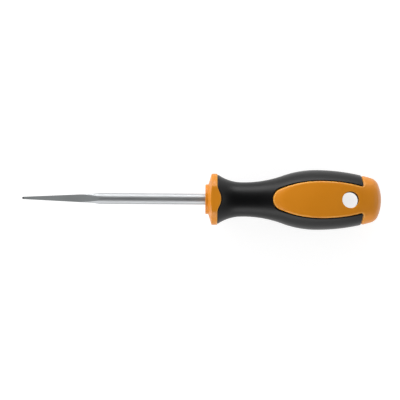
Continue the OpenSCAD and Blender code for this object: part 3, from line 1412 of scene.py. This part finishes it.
        # The hole's wall is marked for the finish's painted shade
        for vert in bore[0] + bore[1]:
            vert[shell.bore] = 1.0
        shell.connect(*bore)
        bottom = [shell.mesh.verts.new((self.tang_len + form.seam_gap, v.co.y, v.co.z)) for v in socket]
        shell.connect(socket, bottom)
        shell.mesh.faces.new(bottom)
        piece = shell.piece("core_piece", finish.material())
        adopt(piece, "handle_core")
        return piece


@dataclass
class Grip:
    """The soft grip: a sleeve on the neck with a leg along each side."""

    form: HandleForm
    seam_roll: Roll = Roll(0.7 * MM, math.radians(65))

    def build(self) -> bpy.types.Object:
        """Makes and dresses the grip.

        Returns:
            The piece that stands for its node.
        """
        finish = Moulding(
            "black_soft_moulding",
            colour=(0.0026, 0.0026, 0.0028, 1.0),
            deep_colour=(0.0018, 0.0018, 0.0020, 1.0),
            # Rolled edges painted lighter: rubbed wear and painted highlight
            rub_and_highlight_colour=(0.008, 0.008, 0.0085, 1.0),
            roughness=0.36,
            grain_size=0.18 * MM,
            grain_depth=0.003 * MM,
            specular=0.25,
        )
        form = self.form
        shell = Shell()
        outer = shell.sheet(form.sleeve(form.seam_gap + self.seam_roll.width, 0.0))
        inner = shell.sheet(form.sleeve(form.seam_gap, form.grip_wall - form.seam_gap))
        for border, under in zip(outer, inner):
            shell.connect(shell.roll(border, self.seam_roll), under)
        piece = shell.piece("grip_piece", finish.material())
        adopt(piece, "grip")
        return piece


@dataclass(frozen=True)
class Softbox:
    """A rectangular lamp, with the point that it faces and how bright it is where white is 1."""

    name: str
    place: tuple[float, float, float]
    size: tuple[float, float]
    radiance: float
    aim: tuple[float, float, float] = (0.0, 0.0, 0.0)

    def hang(self) -> None:
        """Puts the lamp in the scene."""
        lamp = bpy.data.lights.new(self.name, "AREA")
        lamp.shape = "RECTANGLE"
        lamp.size, lamp.size_y = self.size
        lamp.energy = self.radiance * math.pi * self.size[0] * self.size[1]
        made = add_object(self.name, lamp)
        made.location = self.place
        made.rotation_euler = (Vector(self.aim) - made.location).to_track_quat("-Z", "Y").to_euler()


@dataclass
class Studio:
    """The floor, the light and the camera."""

    floor_z: float
    floor_size: float = 6.0
    frame_w: float = 218.5 * MM
    sensor_w: float = 36.0
    camera_height: float = 3.0
    camera_x: float = -2.9 * MM
    camera_y: float = -0.47 * MM
    camera_tilt: float = math.radians(1.2)
    camera_roll: float = math.radians(0.4)
    zenith: float = 0.10
    horizon: float = 1.3
    # How much brighter the surround gets towards +X and +Y, and between which heights it dims
    lean: tuple[float, float] = (-0.25, 0.12)
    dim_cap: tuple[float, float] = (0.25, 0.9)
    softboxes: tuple[Softbox, ...] = (
        Softbox("left_softbox", place=(-1.81, 0.0, 0.85), size=(1.0, 0.9), radiance=2.0),
        Softbox("right_softbox", place=(1.76, 0.0, 0.94), size=(1.0, 0.9), radiance=1.2),
        Softbox(
            "far_panel", place=(-0.8, 1.0, 0.28), size=(2.4, 0.55), radiance=3.8, aim=(-0.8, 0.0, 0.0)
        ),
        Softbox(
            "near_panel", place=(-0.8, -1.0, 0.28), size=(2.4, 0.55), radiance=2.2, aim=(-0.8, 0.0, 0.0)
        ),
    )

    def floor(self) -> None:
        """Lays the pale floor under the tool."""
        half = self.floor_size / 2
        data = bpy.data.meshes.new("floor")
        sides = ((-1, -1), (1, -1), (1, 1), (-1, 1))
        corners = [(x * half, y * half, self.floor_z) for x, y in sides]
        data.from_pydata(corners, [], [(0, 1, 2, 3)])
        data.materials.append(PaleFloor().material())
        add_object("floor", data)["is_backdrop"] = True

    def sky(self) -> None:
        """Makes a soft surround that is dim overhead and pale at the horizon."""
        world = bpy.data.worlds.new("studio")
        world.use_nodes = True
        bpy.context.scene.world = world
        tree = Tree(world.node_tree)
        along, across, up = tree.node("ShaderNodeTexCoord", output="Generated").split()
        horizon = self.horizon + along * self.lean[0] + across * self.lean[1]
        level = horizon + (self.zenith - horizon) * up.ramp(*self.dim_cap)
        light = tree.node("ShaderNodeBackground", sockets={"Strength": level})
        tree.node("ShaderNodeOutputWorld", sockets={"Surface": light})

    def camera(self) -> None:
        """Looks down on the tool, square to it but for a slight tilt, as the photograph does."""
        data = bpy.data.cameras.new("camera")
        data.sensor_width = self.sensor_w
        data.lens = self.sensor_w * self.camera_height / self.frame_w
        made = add_object("camera", data)
        made.rotation_euler = (self.camera_tilt, 0.0, self.camera_roll)
        away = made.rotation_euler.to_matrix() @ Vector((0.0, 0.0, self.camera_height))
        made.location = Vector((self.camera_x, self.camera_y, 0.0)) + away
        bpy.context.scene.camera = made

    def build(self) -> None:
        """Sets up the whole studio."""
        bpy.context.scene.view_settings.view_transform = "Standard"
        self.floor()
        self.sky()
        for softbox in self.softboxes:
            softbox.hang()
        self.camera()


def main() -> None:
    """Builds the studio and the three pieces."""
    logging.basicConfig(level=logging.INFO, format="%(name)s: %(message)s")
    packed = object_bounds()
    form = HandleForm.from_frame()
    blade = Blade.from_frame()
    Studio(floor_z=packed[0].z).build()
    for maker in (blade, Core(form, blade.tang_len), Grip(form)):
        piece = maker.build()
        log.info("%s is done", piece.name)


if __name__ == "__main__":
    main()
